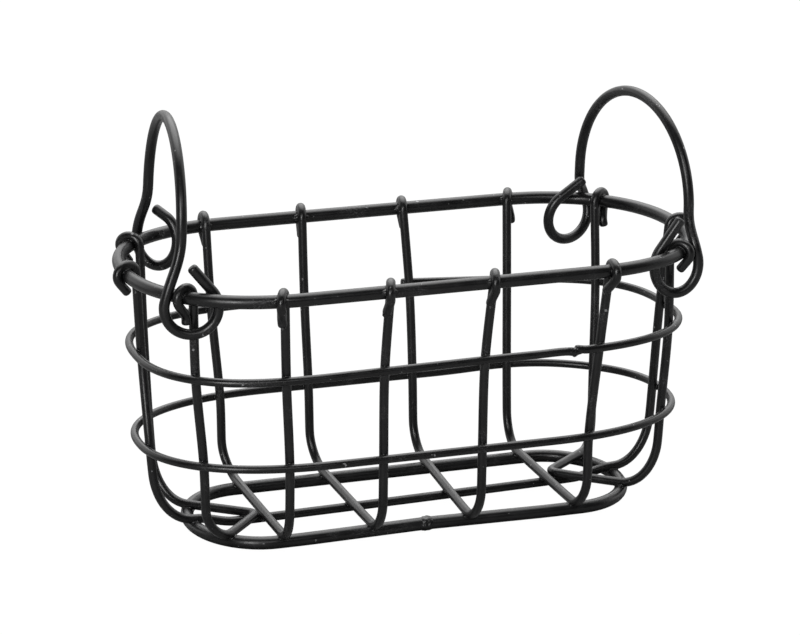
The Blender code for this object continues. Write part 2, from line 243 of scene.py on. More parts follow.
def leg(places, rise_share, inward, form):
    """One leg of a rib, from its hook down inside the bands to its foot on the base ring."""
    rim_place, upper_place, lower_place, base_place = places
    low = LOWER.inside(lower_place)
    foot = Vector((base_place.x, base_place.y, FLOOR))
    rise = (low.z - FLOOR) * rise_share
    start = foot.lerp(low, BEND_START_SHARE)
    start.z = FLOOR + rise
    run = (start - foot).xy.length
    down = (start - low).normalized()
    bend = interpolate_bezier(
        start,
        start + down * rise * QUARTER_SHARE,
        foot - inward * run * QUARTER_SHARE,
        foot,
        BEND_STEPS + 1,
    )
    return hook(rim_place, form) + [UPPER.inside(upper_place), low] + [point.copy() for point in bend]


def cross_leg(number, side):
    """Front (side -1) or back (side 1) leg of a cross rib."""
    rim_x = RIM.length * CROSS_RIM_SHARES[number]
    base_x = BASE.length * CROSS_BASE_SHARES[number]
    way = 0 if side < 0 else 1
    shifts = [0]
    shifts += [ribs[number][way] for ribs in (CROSS_UPPER_SHIFTS, CROSS_LOWER_SHIFTS, CROSS_BASE_SHIFTS)]
    places = []
    for ring, shift in zip((RIM, UPPER, LOWER, BASE), shifts):
        share = (ring.height - BASE.height) / (RIM.height - BASE.height)
        places.append(ring.at_length(base_x + (rim_x - base_x) * share + shift, side))
    return leg(places, CROSS_RISE_SHARE, Vector((0, -side, 0)), CROSS_HOOKS[number][way])


def end_places(shares, end):
    """Places where an end rib passes the four rings."""
    return [ring.at_share(share, end) for ring, share in zip((RIM, UPPER, LOWER, BASE), shares)]


def step_down(foot, inward, length):
    """The long rib's step from the base ring down to below the other ribs."""
    points = []
    for step in range(1, STEP_STEPS + 1):
        share = step / STEP_STEPS
        points.append(foot + inward * length * share - UP * CROSSING * (1 - cos(pi * share)) / 2)
    return points


def long_route():
    """The rib along the basket, from one hook to the other."""
    left_places = end_places(LEFT_LONG_SHARES, -1)
    right_places = end_places(RIGHT_LONG_SHARES, 1)
    rightward = (right_places[-1] - left_places[-1]).normalized()
    left = leg(left_places, END_RISE_SHARE, rightward, LONG_HOOKS[0])
    right = leg(right_places, END_RISE_SHARE, -rightward, LONG_HOOKS[1])
    left_length = BASE.length * (1 + CROSS_BASE_SHARES[0]) * STEP_DOWN_SHARE
    right_length = BASE.length * (1 - CROSS_BASE_SHARES[-1]) * STEP_DOWN_SHARE
    points = left + step_down(left[-1], rightward, left_length)
    return points + (right + step_down(right[-1], -rightward, right_length))[::-1]


def turn(before, corner, after):
    """Rounded corner of a wire on the floor."""
    to_before = (before - corner).normalized()
    to_after = (after - corner).normalized()
    cut = TURN_RADIUS / tan(to_before.angle(to_after) / 2)
    first = corner + to_before * cut
    last = corner + to_after * cut
    arc = interpolate_bezier(first, first.lerp(corner, QUARTER_SHARE), last.lerp(corner, QUARTER_SHARE), last,
                             TURN_STEPS + 1)
    return [point.copy() for point in arc]


def corner_route(end, front_shares, back_shares, rises, turn_share, forms):
    """A V-shaped rib at one end: two hooked legs, and a turn on the floor beside the nearest cross rib."""
    nearest = BASE.length * CROSS_BASE_SHARES[0 if end < 0 else -1]
    corner = Vector((nearest + end * CROSSING, BASE.width * turn_share, FLOOR))
    legs = []
    for shares, rise_share, form in zip((front_shares, back_shares), rises, forms):
        places = end_places(shares, end)
        foot = Vector((places[-1].x, places[-1].y, FLOOR))
        legs.append(leg(places, rise_share, (corner - foot).normalized(), form))
    front, back = legs
    return front + turn(front[-1], corner, back[-1]) + back[::-1]


def eye(side, bends, form_shares):
    """One eye of a handle, from its cut tail round below the rim to where its leg starts."""
    turned, closing = bends
    size = RIM_WIRE + HANDLE_WIRE + EYE_PLAY
    width, height, tail, travel, slide, into, _ = [size * share for share in form_shares]
    hang = height * form_shares[-1]
    middle = EYE_REACH + slide
    last = -pi - LEG_ANGLE
    points = []
    for step in range(EYE_STEPS + 1):
        share = step / EYE_STEPS
        angle = closing + (last - closing) * share
        along = middle + travel * (0.5 - share)
        points.append(Vector((into + width * cos(angle), side * along, height * sin(angle) - hang)))
    leaving = (points[0] - points[1]).normalized()
    points.insert(0, points[0] + leaving * tail)
    centre = Vector((into, side * middle, 0))
    turning = Matrix.Rotation(-side * turned, 3, "Z")
    return [centre + turning @ (point - centre) for point in points]


def arch(sizes, stance):
    """The arch of a handle, from its first spring over the top to its second spring."""
    half_width, spring, top, outset = sizes
    tilt, lean, twist = stance
    points = []
    for step in range(ARCH_STEPS + 1):
        angle = pi * step / ARCH_STEPS
        along = -half_width * cos(angle)
        up = spring + (top - spring) * sin(angle)
        into = up * tan(tilt) + along * tan(twist) - outset
        points.append(Vector((into, along + up * tan(lean), up)))
    return points


def handle_leg(eye_end, spring, spring_way):
    """The stretch of a handle between its eye and its arch."""
    arm = (spring - eye_end[-1]).length * LEG_ARM_SHARE
    leaving = (eye_end[-1] - eye_end[-2]).normalized()
    path = interpolate_bezier(eye_end[-1], eye_end[-1] + leaving * arm, spring - spring_way * arm, spring,
                              LEG_STEPS + 1)
    return [point.copy() for point in path[1:-1]]


def handle_route(end, eye_shares, crown, bends, form_shares):
    """Centre-line of a handle from one cut tail to the other, in its place on the rim."""
    first = eye(-1, bends[0], form_shares[0])
    second = eye(1, bends[1], form_shares[1])
    first_leg = handle_leg(first, crown[0], (crown[1] - crown[0]).normalized())
    second_leg = handle_leg(second, crown[-1], (crown[-2] - crown[-1]).normalized())
    route = first + first_leg + crown + second_leg[::-1] + second[::-1]
    first_eye, second_eye = [RIM.at_share(share, end) for share in eye_shares]
    hinge = (second_eye - first_eye).normalized()
    turned = Matrix.Rotation(atan2(-hinge.x, hinge.y), 4, "Z")
    place = Matrix.Translation((first_eye + second_eye) / 2) @ turned
    return [place @ point for point in route]


def joint_of(point):
    """Place along the basket of the upper band's joint on the side where a point lies."""
    return UPPER.length * (FRONT_JOINT_SHARE if point.y < 0 else BACK_JOINT_SHARE)


def front_lift(point):
    """How much higher the upper band's front runs towards its joint than it would level."""
    low, high = FRONT_LIFT_SPAN
    along = min(max((point.x - low) / (high - low), 0), 1)
    across = min(max(-2 * point.y / UPPER.width, 0), 1)
    return FRONT_LIFT * along * across


def upper_route(end):
    """One half of the upper band, between its front joint and its back joint."""
    joint = UPPER.length * FRONT_JOINT_SHARE
    overlap = JOINT_OVERLAPS[0 if end < 0 else 1]
    front = UPPER.at_length(joint - end * overlap, -1)
    near = UPPER.at_length(joint + end * JOINT_REACH, -1)
    front.z += end * JOINT_STEP / 2
    back = UPPER.at_length(UPPER.length * BACK_JOINT_SHARE + BACK_GAP * max(end, 0), 1)
    points = [point for point in UPPER.end_points(end) if end * (point.x - joint_of(point)) > JOINT_REACH]
    if end < 0:
        points.reverse()
        straight = UPPER.at_length(-UPPER.straight, -1)
        points = [near.lerp(straight, step / BACK_LIFT_STEPS) for step in range(BACK_LIFT_STEPS)] + points
    else:
        points.insert(0, near)
        for step in range(1, BACK_LIFT_STEPS):
            points.append(points[-1].lerp(back, 1 / (BACK_LIFT_STEPS + 1 - step)))
        for point in points[len(points) // 2:] + [back]:
            fade = min((point.x - joint_of(point)) / BACK_LIFT_REACH, 1)
            point.z += BACK_LIFT * (1 - fade)
    route = [front] + points + [back]
    for point in route:
        point.z += front_lift(point)
    return route


def lower_points():
    """The lower band's centre-line, which stands a little high at the right of its back."""
    points = LOWER.end_points(1)
    leftmost = LOWER.at_length(-LOWER.straight, 1)
    points += [points[-1].lerp(leftmost, step / LOWER_LIFT_STEPS) for step in range(1, LOWER_LIFT_STEPS)]
    points += LOWER.end_points(-1)
    for point in points:
        if point.y > 0:
            off = min(abs(point.x - LOWER_LIFT_PLACE) / LOWER_LIFT_REACH, 1)
            point.z += LOWER_LIFT * (1 + cos(pi * off)) / 2
    return points


def base_points():
    """The base ring's centre-line, which stands in a little at its butt weld."""
    points = BASE.end_points(1) + BASE.end_points(-1)
    first, last = points[-1], points[0]
    steps = int((last.x - first.x) / BEAD_STEP)
    points += [first.lerp(last, step / steps) for step in range(1, steps)]
    for point in points:
        if point.y < 0:
            point.y += BEAD_INSET * max(1 - abs(point.x - BEAD_PLACE) / BEAD_INSET_REACH, 0)
    return points


def even_points(route, pace, closed=False):
    """The route as a smooth curve, with points at an even pace."""
    knots = np.array([tuple(point) for point in route])
    keep = [0]
    for number in range(1, len(knots)):
        if np.linalg.norm(knots[number] - knots[keep[-1]]) > pace * KNOT_GAP_SHARE:
            keep.append(number)
    knots = knots[keep]
    if closed:
        if np.linalg.norm(knots[0] - knots[-1]) < pace * KNOT_GAP_SHARE:
            knots = knots[:-1]
        padded = np.vstack([knots[-1], knots, knots[:2]])
    else:
        padded = np.vstack([2 * knots[0] - knots[1], knots, 2 * knots[-1] - knots[-2]])
    fine = []
    for number in range(1, len(padded) - 2):
        before, start, finish, after = padded[number - 1:number + 3]
        steps = ((before, start), (start, finish), (finish, after))
        gaps = [max(np.linalg.norm(b - a), 1e-9) ** 0.5 for a, b in steps]
        slope_a = (start - before) / gaps[0] - (finish - before) / (gaps[0] + gaps[1])
        slope_a += (finish - start) / gaps[1]
        slope_b = (finish - start) / gaps[1] - (after - start) / (gaps[1] + gaps[2])
        slope_b += (after - finish) / gaps[2]
        slope_a, slope_b = slope_a * gaps[1], slope_b * gaps[1]
        count = max(2, int(np.linalg.norm(finish - start) / pace * STEPS_PER_PACE))
        t = np.linspace(0, 1, count, endpoint=False)[:, None]
        fine.append((2 * t ** 3 - 3 * t ** 2 + 1) * start + (t ** 3 - 2 * t ** 2 + t) * slope_a
                    + (3 * t ** 2 - 2 * t ** 3) * finish + (t ** 3 - t ** 2) * slope_b)
    fine = np.vstack(fine + [padded[-2][None] if not closed else padded[1][None]])
    lengths = np.concatenate([[0], np.cumsum(np.linalg.norm(np.diff(fine, axis=0), axis=1))])
    count = int(round(lengths[-1] / pace))
    places = np.linspace(0, lengths[-1], count + 1)
    even = np.column_stack([np.interp(places, lengths, fine[:, axis]) for axis in range(3)])
    return even[:-1] if closed else even


def ring_wire(points, wire):
    """A closed wire: its centre-line at an even pace, its radius, and that it is closed."""
    return even_points(points, RING_PACE, True), wire, True


def open_wire(points, wire, pace=RIB_PACE):
    """An open wire, told in the same way."""
    return even_points(points, pace), wire, False


CROSS_RIBS = ("cross_rib_far_left", "cross_rib_left", "cross_rib_right", "cross_rib_far_right")
LEFT_RISES = (CORNER_RISE_SHARE, SIDE_RISE_SHARE)
RIGHT_RISES = (SIDE_RISE_SHARE, CORNER_RISE_SHARE)
LEFT_CORNER_ROUTE = corner_route(-1, LEFT_CORNER_SHARES, LEFT_SIDE_SHARES, LEFT_RISES, LEFT_TURN_SHARE,
                                 LEFT_CORNER_HOOKS)
RIGHT_CORNER_ROUTE = corner_route(1, RIGHT_SIDE_SHARES, RIGHT_CORNER_SHARES, RIGHT_RISES, RIGHT_TURN_SHARE,
                                  RIGHT_CORNER_HOOKS)
LEFT_HANDLE_ROUTE = handle_route(-1, LEFT_EYE_SHARES, arch(LEFT_ARCH, LEFT_STANCE), LEFT_EYE_BENDS,
                                 LEFT_EYE_FORM_SHARES)
RIGHT_HANDLE_ROUTE = handle_route(1, RIGHT_EYE_SHARES, arch(RIGHT_ARCH, RIGHT_STANCE), RIGHT_EYE_BENDS,
                                  RIGHT_EYE_FORM_SHARES)
ROUTES = {
    "rim_ring": ring_wire(RIM.end_points(1) + RIM.end_points(-1), RIM_WIRE),
    "lower_band": ring_wire(lower_points(), BAND_WIRE),
    "base_ring": ring_wire(base_points(), BASE_WIRE),
    "upper_band_left": open_wire(upper_route(-1), BAND_WIRE, RING_PACE),
    "upper_band_right": open_wire(upper_route(1), BAND_WIRE, RING_PACE),
    "long_rib": open_wire(long_route(), RIB_WIRE),
    "corner_rib_left": open_wire(LEFT_CORNER_ROUTE, RIB_WIRE),
    "corner_rib_right": open_wire(RIGHT_CORNER_ROUTE, RIB_WIRE),
    "left_handle": open_wire(LEFT_HANDLE_ROUTE, HANDLE_WIRE),
    "right_handle": open_wire(RIGHT_HANDLE_ROUTE, HANDLE_WIRE),
}
for number, name in enumerate(CROSS_RIBS):
    ROUTES[name] = open_wire(cross_leg(number, -1) + cross_leg(number, 1)[::-1], RIB_WIRE)


def deselect():
    """Nothing is selected or active."""
    bpy.ops.object.select_all(action="DESELECT")
    bpy.context.view_layer.objects.active = None


def tube(name, strands, resolution):
    """Mesh tubes along strands, each a list of points with radii and whether it is closed."""
    deselect()
    bpy.ops.curve.primitive_nurbs_path_add(location=(0, 0, 0))
    path = bpy.context.object
    path.name = name
    curve = path.data
    curve.splines.clear()
    curve.dimensions = "3D"
    curve.bevel_depth = 1.0
    curve.bevel_resolution = resolution
    curve.use_fill_caps = True
    for points, radii, closed in strands:
        spline = curve.splines.new("POLY")
        spline.points.add(len(points) - 1)
        flat = np.column_stack([points, np.ones(len(points))]).ravel()
        spline.points.foreach_set("co", flat)
        spline.points.foreach_set("radius", radii)
        spline.use_cyclic_u = closed
        spline.use_smooth = True
    bpy.ops.object.convert(target="MESH")
    return bpy.context.object


def cut_ends(points, wire):
    """Points and radii of an open wire with both ends cut and coated."""
    lengths = np.concatenate([[0], np.cumsum(np.linalg.norm(np.diff(points, axis=0), axis=1))])
    total = lengths[-1]
    edge = CUT_END[-1][0] * wire * CUT_MARGIN
    inner = lengths[(lengths > edge) & (lengths < total - edge)]
    near = np.array([place * wire for place, _ in CUT_END])
    near_radii = np.array([radius for _, radius in CUT_END])
    places = np.concatenate([near, inner, total - near[::-1]])
    radii = np.concatenate([near_radii, np.ones(len(inner)), near_radii[::-1]]) * wire
    moved = np.column_stack([np.interp(places, lengths, points[:, axis]) for axis in range(3)])
    return moved, radii


def wire_piece(node):
    """The finished wire that stands for a CAD node."""
    points, wire, closed = ROUTES[node]
    if closed:
        radii = np.full(len(points), wire)
    else:
        points, radii = cut_ends(points, wire)
    piece = tube(node + "_wire", [(points, radii, closed)], WIRE_RESOLUTION)
    bpy.ops.object.shade_smooth_by_angle(angle=CREASE_ANGLE)
    return piece


# Welds: stubs of the two wires at each crossing, how far they reach, how fine and how much smaller than
# the wires they are fused, how often they are smoothed, and how far apart the wires may be
WELD_REACH = 0.0030
WELD_VOXEL = 0.00018
WELD_UNDERSIZE = 0.00002
WELD_SMOOTHING = 22
WELD_GAP = 0.00012
# Wires that touch along more points than this run side by side, and their weld is in the middle
LONG_TOUCH = 14
SMOOTHING_FACTOR = 0.5


def crossings(first, second):
    """Pairs of places where two wires come closest and touch."""
    a, a_wire, _ = ROUTES[first]
    b, b_wire, _ = ROUTES[second]
    gaps = np.linalg.norm(a[:, None] - b[None], axis=2)
    nearest = gaps.min(axis=1)
    touching = nearest < a_wire + b_wire + WELD_GAP
    found = []
    number = 0
    while number < len(a):
        if not touching[number]:
            number += 1
            continue
        last = number
        while last + 1 < len(a) and touching[last + 1]:
            last += 1
        best = number + int(np.argmin(nearest[number:last + 1]))
        if last - number > LONG_TOUCH:
            best = (number + last) // 2
        found.append((best, int(np.argmin(gaps[best]))))
        number = last + 1
    return found


def stub(name, middle, reach):
    """A short stretch of a wire about one of its points."""
    points, wire, closed = ROUTES[name]
    pace = np.linalg.norm(points[1] - points[0])
    count = max(2, int(reach / pace))
    if closed:
        numbers = np.arange(middle - count, middle + count + 1) % len(points)
    else:
        numbers = np.arange(max(0, middle - count), min(len(points), middle + count + 1))
    return points[numbers], np.full(len(numbers), wire - WELD_UNDERSIZE), False


def fuse(piece):
    """Make one skin of all the tubes of a piece."""
    bpy.ops.object.modifier_add(type="REMESH")
    skin = piece.modifiers[-1]
    skin.mode = "VOXEL"
    skin.voxel_size = WELD_VOXEL
    bpy.ops.object.modifier_apply(modifier=skin.name)


def relax(piece, times):
    """Smooth a piece's skin."""
    bpy.ops.object.modifier_add(type="SMOOTH")
    smoothing = piece.modifiers[-1]
    smoothing.factor = SMOOTHING_FACTOR
    smoothing.iterations = times
    bpy.ops.object.modifier_apply(modifier=smoothing.name)
    bpy.ops.object.shade_smooth()


def weld_piece(name, pairs):
    """All the welds between pairs of wires, fused and smoothed into fillets."""
    strands = []
    for first, second in pairs:
        for a, b in crossings(first, second):
            strands += [stub(first, a, WELD_REACH), stub(second, b, WELD_REACH)]
    piece = tube(name, strands, WELD_RESOLUTION)
    fuse(piece)
    relax(piece, WELD_SMOOTHING)
    return piece


# Burrs on the hooks' tails: wire, its first point, reach to the side; then their radii and droop
BURRS = (
    ("cross_rib_left", 0, 0.0013),
    ("cross_rib_left", 0, -0.0013),
    ("cross_rib_right", 0, 0.0014),
    ("cross_rib_far_left", 0, 0.0007),
    ("cross_rib_far_right", 0, -0.0006),
)
BURR_RADII = (0.0011, 0.0010, 0.0006)
BURR_DROOP = 0.0003
# Weld lumps beside hooks: rib number, way (front 0, back 1), reach to the left and to the right; then
# their form along the rim, and their place across and above its centre-line
HOOK_LUMPS = ((0, 0, 0.0030, 0.0031), (1, 0, 0.0028, 0.0031), (2, 0, 0.0026, 0.0024), (0, 1, 0.0018, 0.0028),
              (1, 1, 0.0027, 0.0029), (2, 1, 0.0026, 0.0022), (3, 1, 0.0024, 0.0018))
HOOK_LUMP_SHARES = (-1.0, -0.72, -0.4, 0, 0.4, 0.72, 1.0)
HOOK_LUMP_RADII = (0.0004, 0.00085, 0.0011, 0.0012, 0.0011, 0.00085, 0.0004)
HOOK_LUMP_PLACE = (-0.00145, 0.0003)
# A round dent's raised edge on the rim, at the back of the left end: its place, size across and of the
# edge, upward tilt, segments, share of the edge that is sunk, and roughness
DENT_SHARE = 0.877
DENT_SIZE = (0.00085, 0.00027)
DENT_TILT = 0.35
DENT_SEGMENTS = (40, 12)
DENT_SUNK_SHARE = 1 / 3
DENT_ROUGHNESS_SHARE = 0.5
DENT_GRAIN = 1500
# The swelling that joins the upper band's halves at the front: offset along, up and radius of each point
JOINT_SWELLING = ((-0.0042, -0.0003, 0.00105), (-0.0028, 0.0001, 0.00118), (-0.0018, 0.0000, 0.00130),
                  (-0.0007, -0.0005, 0.00150), (0.0005, 0.0000, 0.00130), (0.0022, 0.0004, 0.00115))
# The base ring's bead: its radii and their pace
BEAD_RADII = (0.00198, 0.00212, 0.00240, 0.00222, 0.00245, 0.00218, 0.00198)
BEAD_PACE = 0.0006
# Skin of the lumps: how rough, its coarse and fine grain, the fine one's share, and how often it is smoothed
LUMP_ROUGHNESS = 0.00022
LUMP_GRAINS = (900, 2300)
FINE_GRAIN_SHARE = 0.5
LUMP_SMOOTHING = 3


def burr_strands():
    """Short sideways strands at the ends of the hooks' tails."""
    strands = []
    for name, end, reach in BURRS:
        tip = ROUTES[name][0][end]
        points = [tip + np.array((reach * share, 0, -BURR_DROOP * share)) for share in (0, 0.5, 1)]
        strands.append((points, BURR_RADII, False))
    return strands


def hook_lump_strands():
    """Strands along the rim that swell where a hook is welded to its near side."""
    strands = []
    for number, way, left, right in HOOK_LUMPS:
        slide, skew = CROSS_HOOKS[number][way][:2]
        shift = slide + skew if way == 0 else skew - slide
        place = RIM.at_length(RIM.length * CROSS_RIM_SHARES[number], 2 * way - 1)
        middle = np.array(place) + np.array((shift, *HOOK_LUMP_PLACE))
        offsets = [share * (left if share < 0 else right) for share in HOOK_LUMP_SHARES]
        points = [middle + np.array((offset, 0, 0)) for offset in offsets]
        strands.append((points, HOOK_LUMP_RADII, False))
    return strands


def dent_piece():
    """The raised edge of a round dent on the rim's inner side."""
    place = RIM.at_share(DENT_SHARE, -1)
    facing = (-RIM.outward(place) + UP * DENT_TILT).normalized()
    deselect()
    turned = facing.to_track_quat("Z", "Y").to_euler()
    centre = place + facing * (RIM_WIRE - DENT_SIZE[1] * DENT_SUNK_SHARE)
    bpy.ops.mesh.primitive_torus_add(major_segments=DENT_SEGMENTS[0], minor_segments=DENT_SEGMENTS[1],
                                     major_radius=DENT_SIZE[0], minor_radius=DENT_SIZE[1],
                                     location=centre, rotation=turned)
    piece = bpy.context.object
    piece.name = "rim_dent"
    bpy.ops.object.transform_apply(location=True, rotation=True, scale=True)
    for vertex in piece.data.vertices:
        vertex.co += vertex.normal * DENT_SIZE[1] * DENT_ROUGHNESS_SHARE * noise.noise(vertex.co * DENT_GRAIN)
    bpy.ops.object.shade_smooth()
    return piece


def bead_strands():
    """The swollen stretch of the base ring at its butt weld."""
    points = ROUTES["base_ring"][0]
    front = np.where(points[:, 1] < 0)[0]
    middle = points[front[np.argmin(np.abs(points[front, 0] - BEAD_PLACE))]]
    offsets = (np.arange(len(BEAD_RADII)) - len(BEAD_RADII) // 2) * BEAD_PACE
    return [([middle + np.array((offset, 0, 0)) for offset in offsets], BEAD_RADII, False)]


def joint_strands():
    """The swollen stretch where the upper band's halves run into each other at the front."""
    left = ROUTES["upper_band_left"][0][0]
    right = ROUTES["upper_band_right"][0][0]
    middle = (left + right) / 2
    points = [middle + np.array((along, 0, up)) for along, up, _ in JOINT_SWELLING]
    return [(points, [radius for _, _, radius in JOINT_SWELLING], False)]


def lump_piece(name, strands):
    """Strands fused into lumps with a rough skin."""
    piece = tube(name, strands, WELD_RESOLUTION)
    fuse(piece)
    coarse, fine = LUMP_GRAINS
    for vertex in piece.data.vertices:
        swell = noise.noise(vertex.co * coarse) + FINE_GRAIN_SHARE * noise.noise(vertex.co * fine)
        vertex.co += vertex.normal * LUMP_ROUGHNESS * swell
        vertex.co.z = max(vertex.co.z, 0)
    relax(piece, LUMP_SMOOTHING)
    return piece


# Colours of the coat, of the dust and scuffs on it, and of the steel in its chips
COAT_BLACK = (0.0048, 0.0048, 0.0052, 1)
DUST_GREY = (0.020, 0.020, 0.021, 1)
SCUFF_GREY = (0.055, 0.055, 0.057, 1)
STEEL = (0.60, 0.60, 0.61, 1)
# Noises of the coat: scale and detail
PEEL_GRAIN = (1500.0, 3.0)
CLOUD_GRAIN = (180.0, 4.0)
PIT_GRAIN = (620.0, 2.0)
PATCH_GRAIN = (75.0, 2.0)
SCRATCH_GRAIN = (2600.0, 2.0)
# Values of the noises between which each effect comes in
DUST_RANGE = (0.42, 0.75)
PATCH_RANGE = (0.56, 0.66)
SCRATCH_RANGE = (0.54, 0.62)
CHIP_RANGE = (0.728, 0.755)
GLOSS_RANGE = (0.3, 0.7)
ROUGHNESS_RANGE = (0.27, 0.36)
# The orange peel's strength and depth
PEEL_STRENGTH = 0.25
PEEL_DEPTH = 0.00008
# How dusty and how chipped the wires, welds, lumps and dent are, and where their patterns start
WIRE_WEAR = (0.25, 0.5)
WELD_WEAR = (0.2, 0.8)
LUMP_WEAR = (0.5, 1.0)
DENT_WEAR = (2.0, 1.0)
WIRE_SHIFT = 0.37
WELD_SHIFT = 5.1
LUMP_SHIFT = 9.3
DENT_SHIFT = 3.3


def new_node(tree, kind, place=(0, 0), **values):
    """A node of a tree with some of its inputs set."""
    node = tree.nodes.new(kind)
    node.location = place
    for name, value in values.items():
        node.inputs[name.replace("_", " ")].default_value = value
    return node


def calculate(tree, operation, first, second):
    """Two values put together; the second may be a plain number."""
    node = tree.nodes.new("ShaderNodeMath")
    node.operation = operation
    tree.links.new(first, node.inputs[0])
    if isinstance(second, float):
        node.inputs[1].default_value = second
    else:
        tree.links.new(second, node.inputs[1])
    return node.outputs[0]


def grain(tree, place, scale_and_detail):
    """A noise read at a place."""
    scale, detail = scale_and_detail
    texture = new_node(tree, "ShaderNodeTexNoise", Scale=scale, Detail=detail)
    tree.links.new(place, texture.inputs["Vector"])
    return texture.outputs["Fac"]


def spread(tree, value, limits, results=(0.0, 1.0)):
    """A value between two limits, spread between two results."""
    node = new_node(tree, "ShaderNodeMapRange", From_Min=limits[0], From_Max=limits[1], To_Min=results[0],
                    To_Max=results[1])
    tree.links.new(value, node.inputs["Value"])
    return node.outputs[0]


def lay_over(tree, share, under, colour):
    """A plain colour laid over another by a share."""
    node = tree.nodes.new("ShaderNodeMix")
    node.data_type = "RGBA"
    node.inputs["B"].default_value = colour
    tree.links.new(share, node.inputs["Factor"])
    tree.links.new(under, node.inputs["A"])
    return node.outputs["Result"]


def powder_group():
    """Powder coat: fine orange peel, dust-grey variation, scuffs and sparse chips down to the steel."""
    tree = bpy.data.node_groups.new("powder_coat", "ShaderNodeTree")
    for name, kind, value in (("Coat", "NodeSocketColor", COAT_BLACK), ("Bloom", "NodeSocketFloat", 0.2),
                              ("Chips", "NodeSocketFloat", 0.2), ("Shift", "NodeSocketFloat", 0.0)):
        tree.interface.new_socket(name, in_out="INPUT", socket_type=kind).default_value = value
    tree.interface.new_socket("Color", in_out="OUTPUT", socket_type="NodeSocketColor")
    for name in ("Roughness", "Metallic", "Height"):
        tree.interface.new_socket(name, in_out="OUTPUT", socket_type="NodeSocketFloat")
    entry = tree.nodes.new("NodeGroupInput")
    leave = tree.nodes.new("NodeGroupOutput")
    surface = tree.nodes.new("ShaderNodeTexCoord")
    shift = tree.nodes.new("ShaderNodeVectorMath")
    shift.operation = "ADD"
    link = tree.links.new
    link(surface.outputs["Object"], shift.inputs[0])
    link(entry.outputs["Shift"], shift.inputs[1])
    place = shift.outputs[0]

    peel = grain(tree, place, PEEL_GRAIN)
    cloud = grain(tree, place, CLOUD_GRAIN)
    pits = grain(tree, place, PIT_GRAIN)
    patches = spread(tree, grain(tree, place, PATCH_GRAIN), PATCH_RANGE)
    scratches = spread(tree, grain(tree, place, SCRATCH_GRAIN), SCRATCH_RANGE)

    dust = calculate(tree, "MULTIPLY", spread(tree, cloud, DUST_RANGE), entry.outputs["Bloom"])
    scuffs = calculate(tree, "MULTIPLY", patches, scratches)
    chips = calculate(tree, "MULTIPLY", spread(tree, pits, CHIP_RANGE), entry.outputs["Chips"])
    colour = lay_over(tree, dust, entry.outputs["Coat"], DUST_GREY)
    colour = lay_over(tree, scuffs, colour, SCUFF_GREY)
    colour = lay_over(tree, chips, colour, STEEL)
    link(colour, leave.inputs["Color"])
    link(chips, leave.inputs["Metallic"])
    link(spread(tree, cloud, GLOSS_RANGE, ROUGHNESS_RANGE), leave.inputs["Roughness"])
    link(calculate(tree, "SUBTRACT", peel, chips), leave.inputs["Height"])
    return tree


POWDER = powder_group()


def coat(name, wear, shift):
    """A material of satin black powder coat."""
    material = bpy.data.materials.new(name)
    material.use_nodes = True
    tree = material.node_tree
    shader = tree.nodes["Principled BSDF"]
    shader.inputs["Specular IOR Level"].default_value = 0.5
    group = tree.nodes.new("ShaderNodeGroup")
    group.node_tree = POWDER
    group.location = (-500, 0)
    group.inputs["Bloom"].default_value, group.inputs["Chips"].default_value = wear
    group.inputs["Shift"].default_value = shift
    bump = new_node(tree, "ShaderNodeBump", (-250, -250), Strength=PEEL_STRENGTH, Distance=PEEL_DEPTH)
    link = tree.links.new
    link(group.outputs["Color"], shader.inputs["Base Color"])
    link(group.outputs["Roughness"], shader.inputs["Roughness"])
    link(group.outputs["Metallic"], shader.inputs["Metallic"])
    link(group.outputs["Height"], bump.inputs["Height"])
    link(bump.outputs["Normal"], shader.inputs["Normal"])
    return material


def finish_piece(piece, body, nodes, material):
    """Give a piece its coat and its body, and hide the CAD nodes that it stands for."""
    piece.data.materials.clear()
    piece.data.materials.append(material)
    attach(piece, body)
    if nodes:
        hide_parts(*nodes)


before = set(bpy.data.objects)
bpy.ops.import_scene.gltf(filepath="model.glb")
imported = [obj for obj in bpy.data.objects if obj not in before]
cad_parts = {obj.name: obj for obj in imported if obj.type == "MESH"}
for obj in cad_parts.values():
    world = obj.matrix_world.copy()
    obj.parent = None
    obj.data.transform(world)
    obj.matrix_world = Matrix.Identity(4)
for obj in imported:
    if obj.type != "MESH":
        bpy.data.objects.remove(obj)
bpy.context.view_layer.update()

BODY_OF = {"left_handle": "left_handle", "right_handle": "right_handle"}
for number, node in enumerate(ROUTES):
    material = coat(node + "_powder", WIRE_WEAR, WIRE_SHIFT * number)
    finish_piece(wire_piece(node), BODY_OF.get(node, "basket"), [node], material)

# Welds: name, the pairs of wires that they join, and the wire whose coat they are to share, which is not
# read: each weld gets a coat of its own
CORNER_RIBS = ("corner_rib_left", "corner_rib_right")
RIBS = CROSS_RIBS + ("long_rib",) + CORNER_RIBS
UPPER_BANDS = ("upper_band_left", "upper_band_right")
FLOOR_PAIRS = [(rib, "long_rib") for rib in CROSS_RIBS + CORNER_RIBS]
FLOOR_PAIRS += [("corner_rib_left", "cross_rib_far_left"), ("corner_rib_right", "cross_rib_far_right")]
WELDS = (
    ("rim_welds", [(rib, "rim_ring") for rib in RIBS], "rim_ring"),
    ("upper_band_welds", [(rib, band) for rib in RIBS for band in UPPER_BANDS], "upper_band_left"),
    ("lower_band_welds", [(rib, "lower_band") for rib in RIBS], "lower_band"),
    ("base_welds", [(rib, "base_ring") for rib in RIBS], "base_ring"),
    ("floor_welds", FLOOR_PAIRS, "long_rib"),
    ("band_joint_weld", [UPPER_BANDS], "upper_band_left"),
)
for number, (name, pairs, like) in enumerate(WELDS):
    material = coat(name + "_powder", WELD_WEAR, WELD_SHIFT + number)
    finish_piece(weld_piece(name, pairs), "basket", [], material)

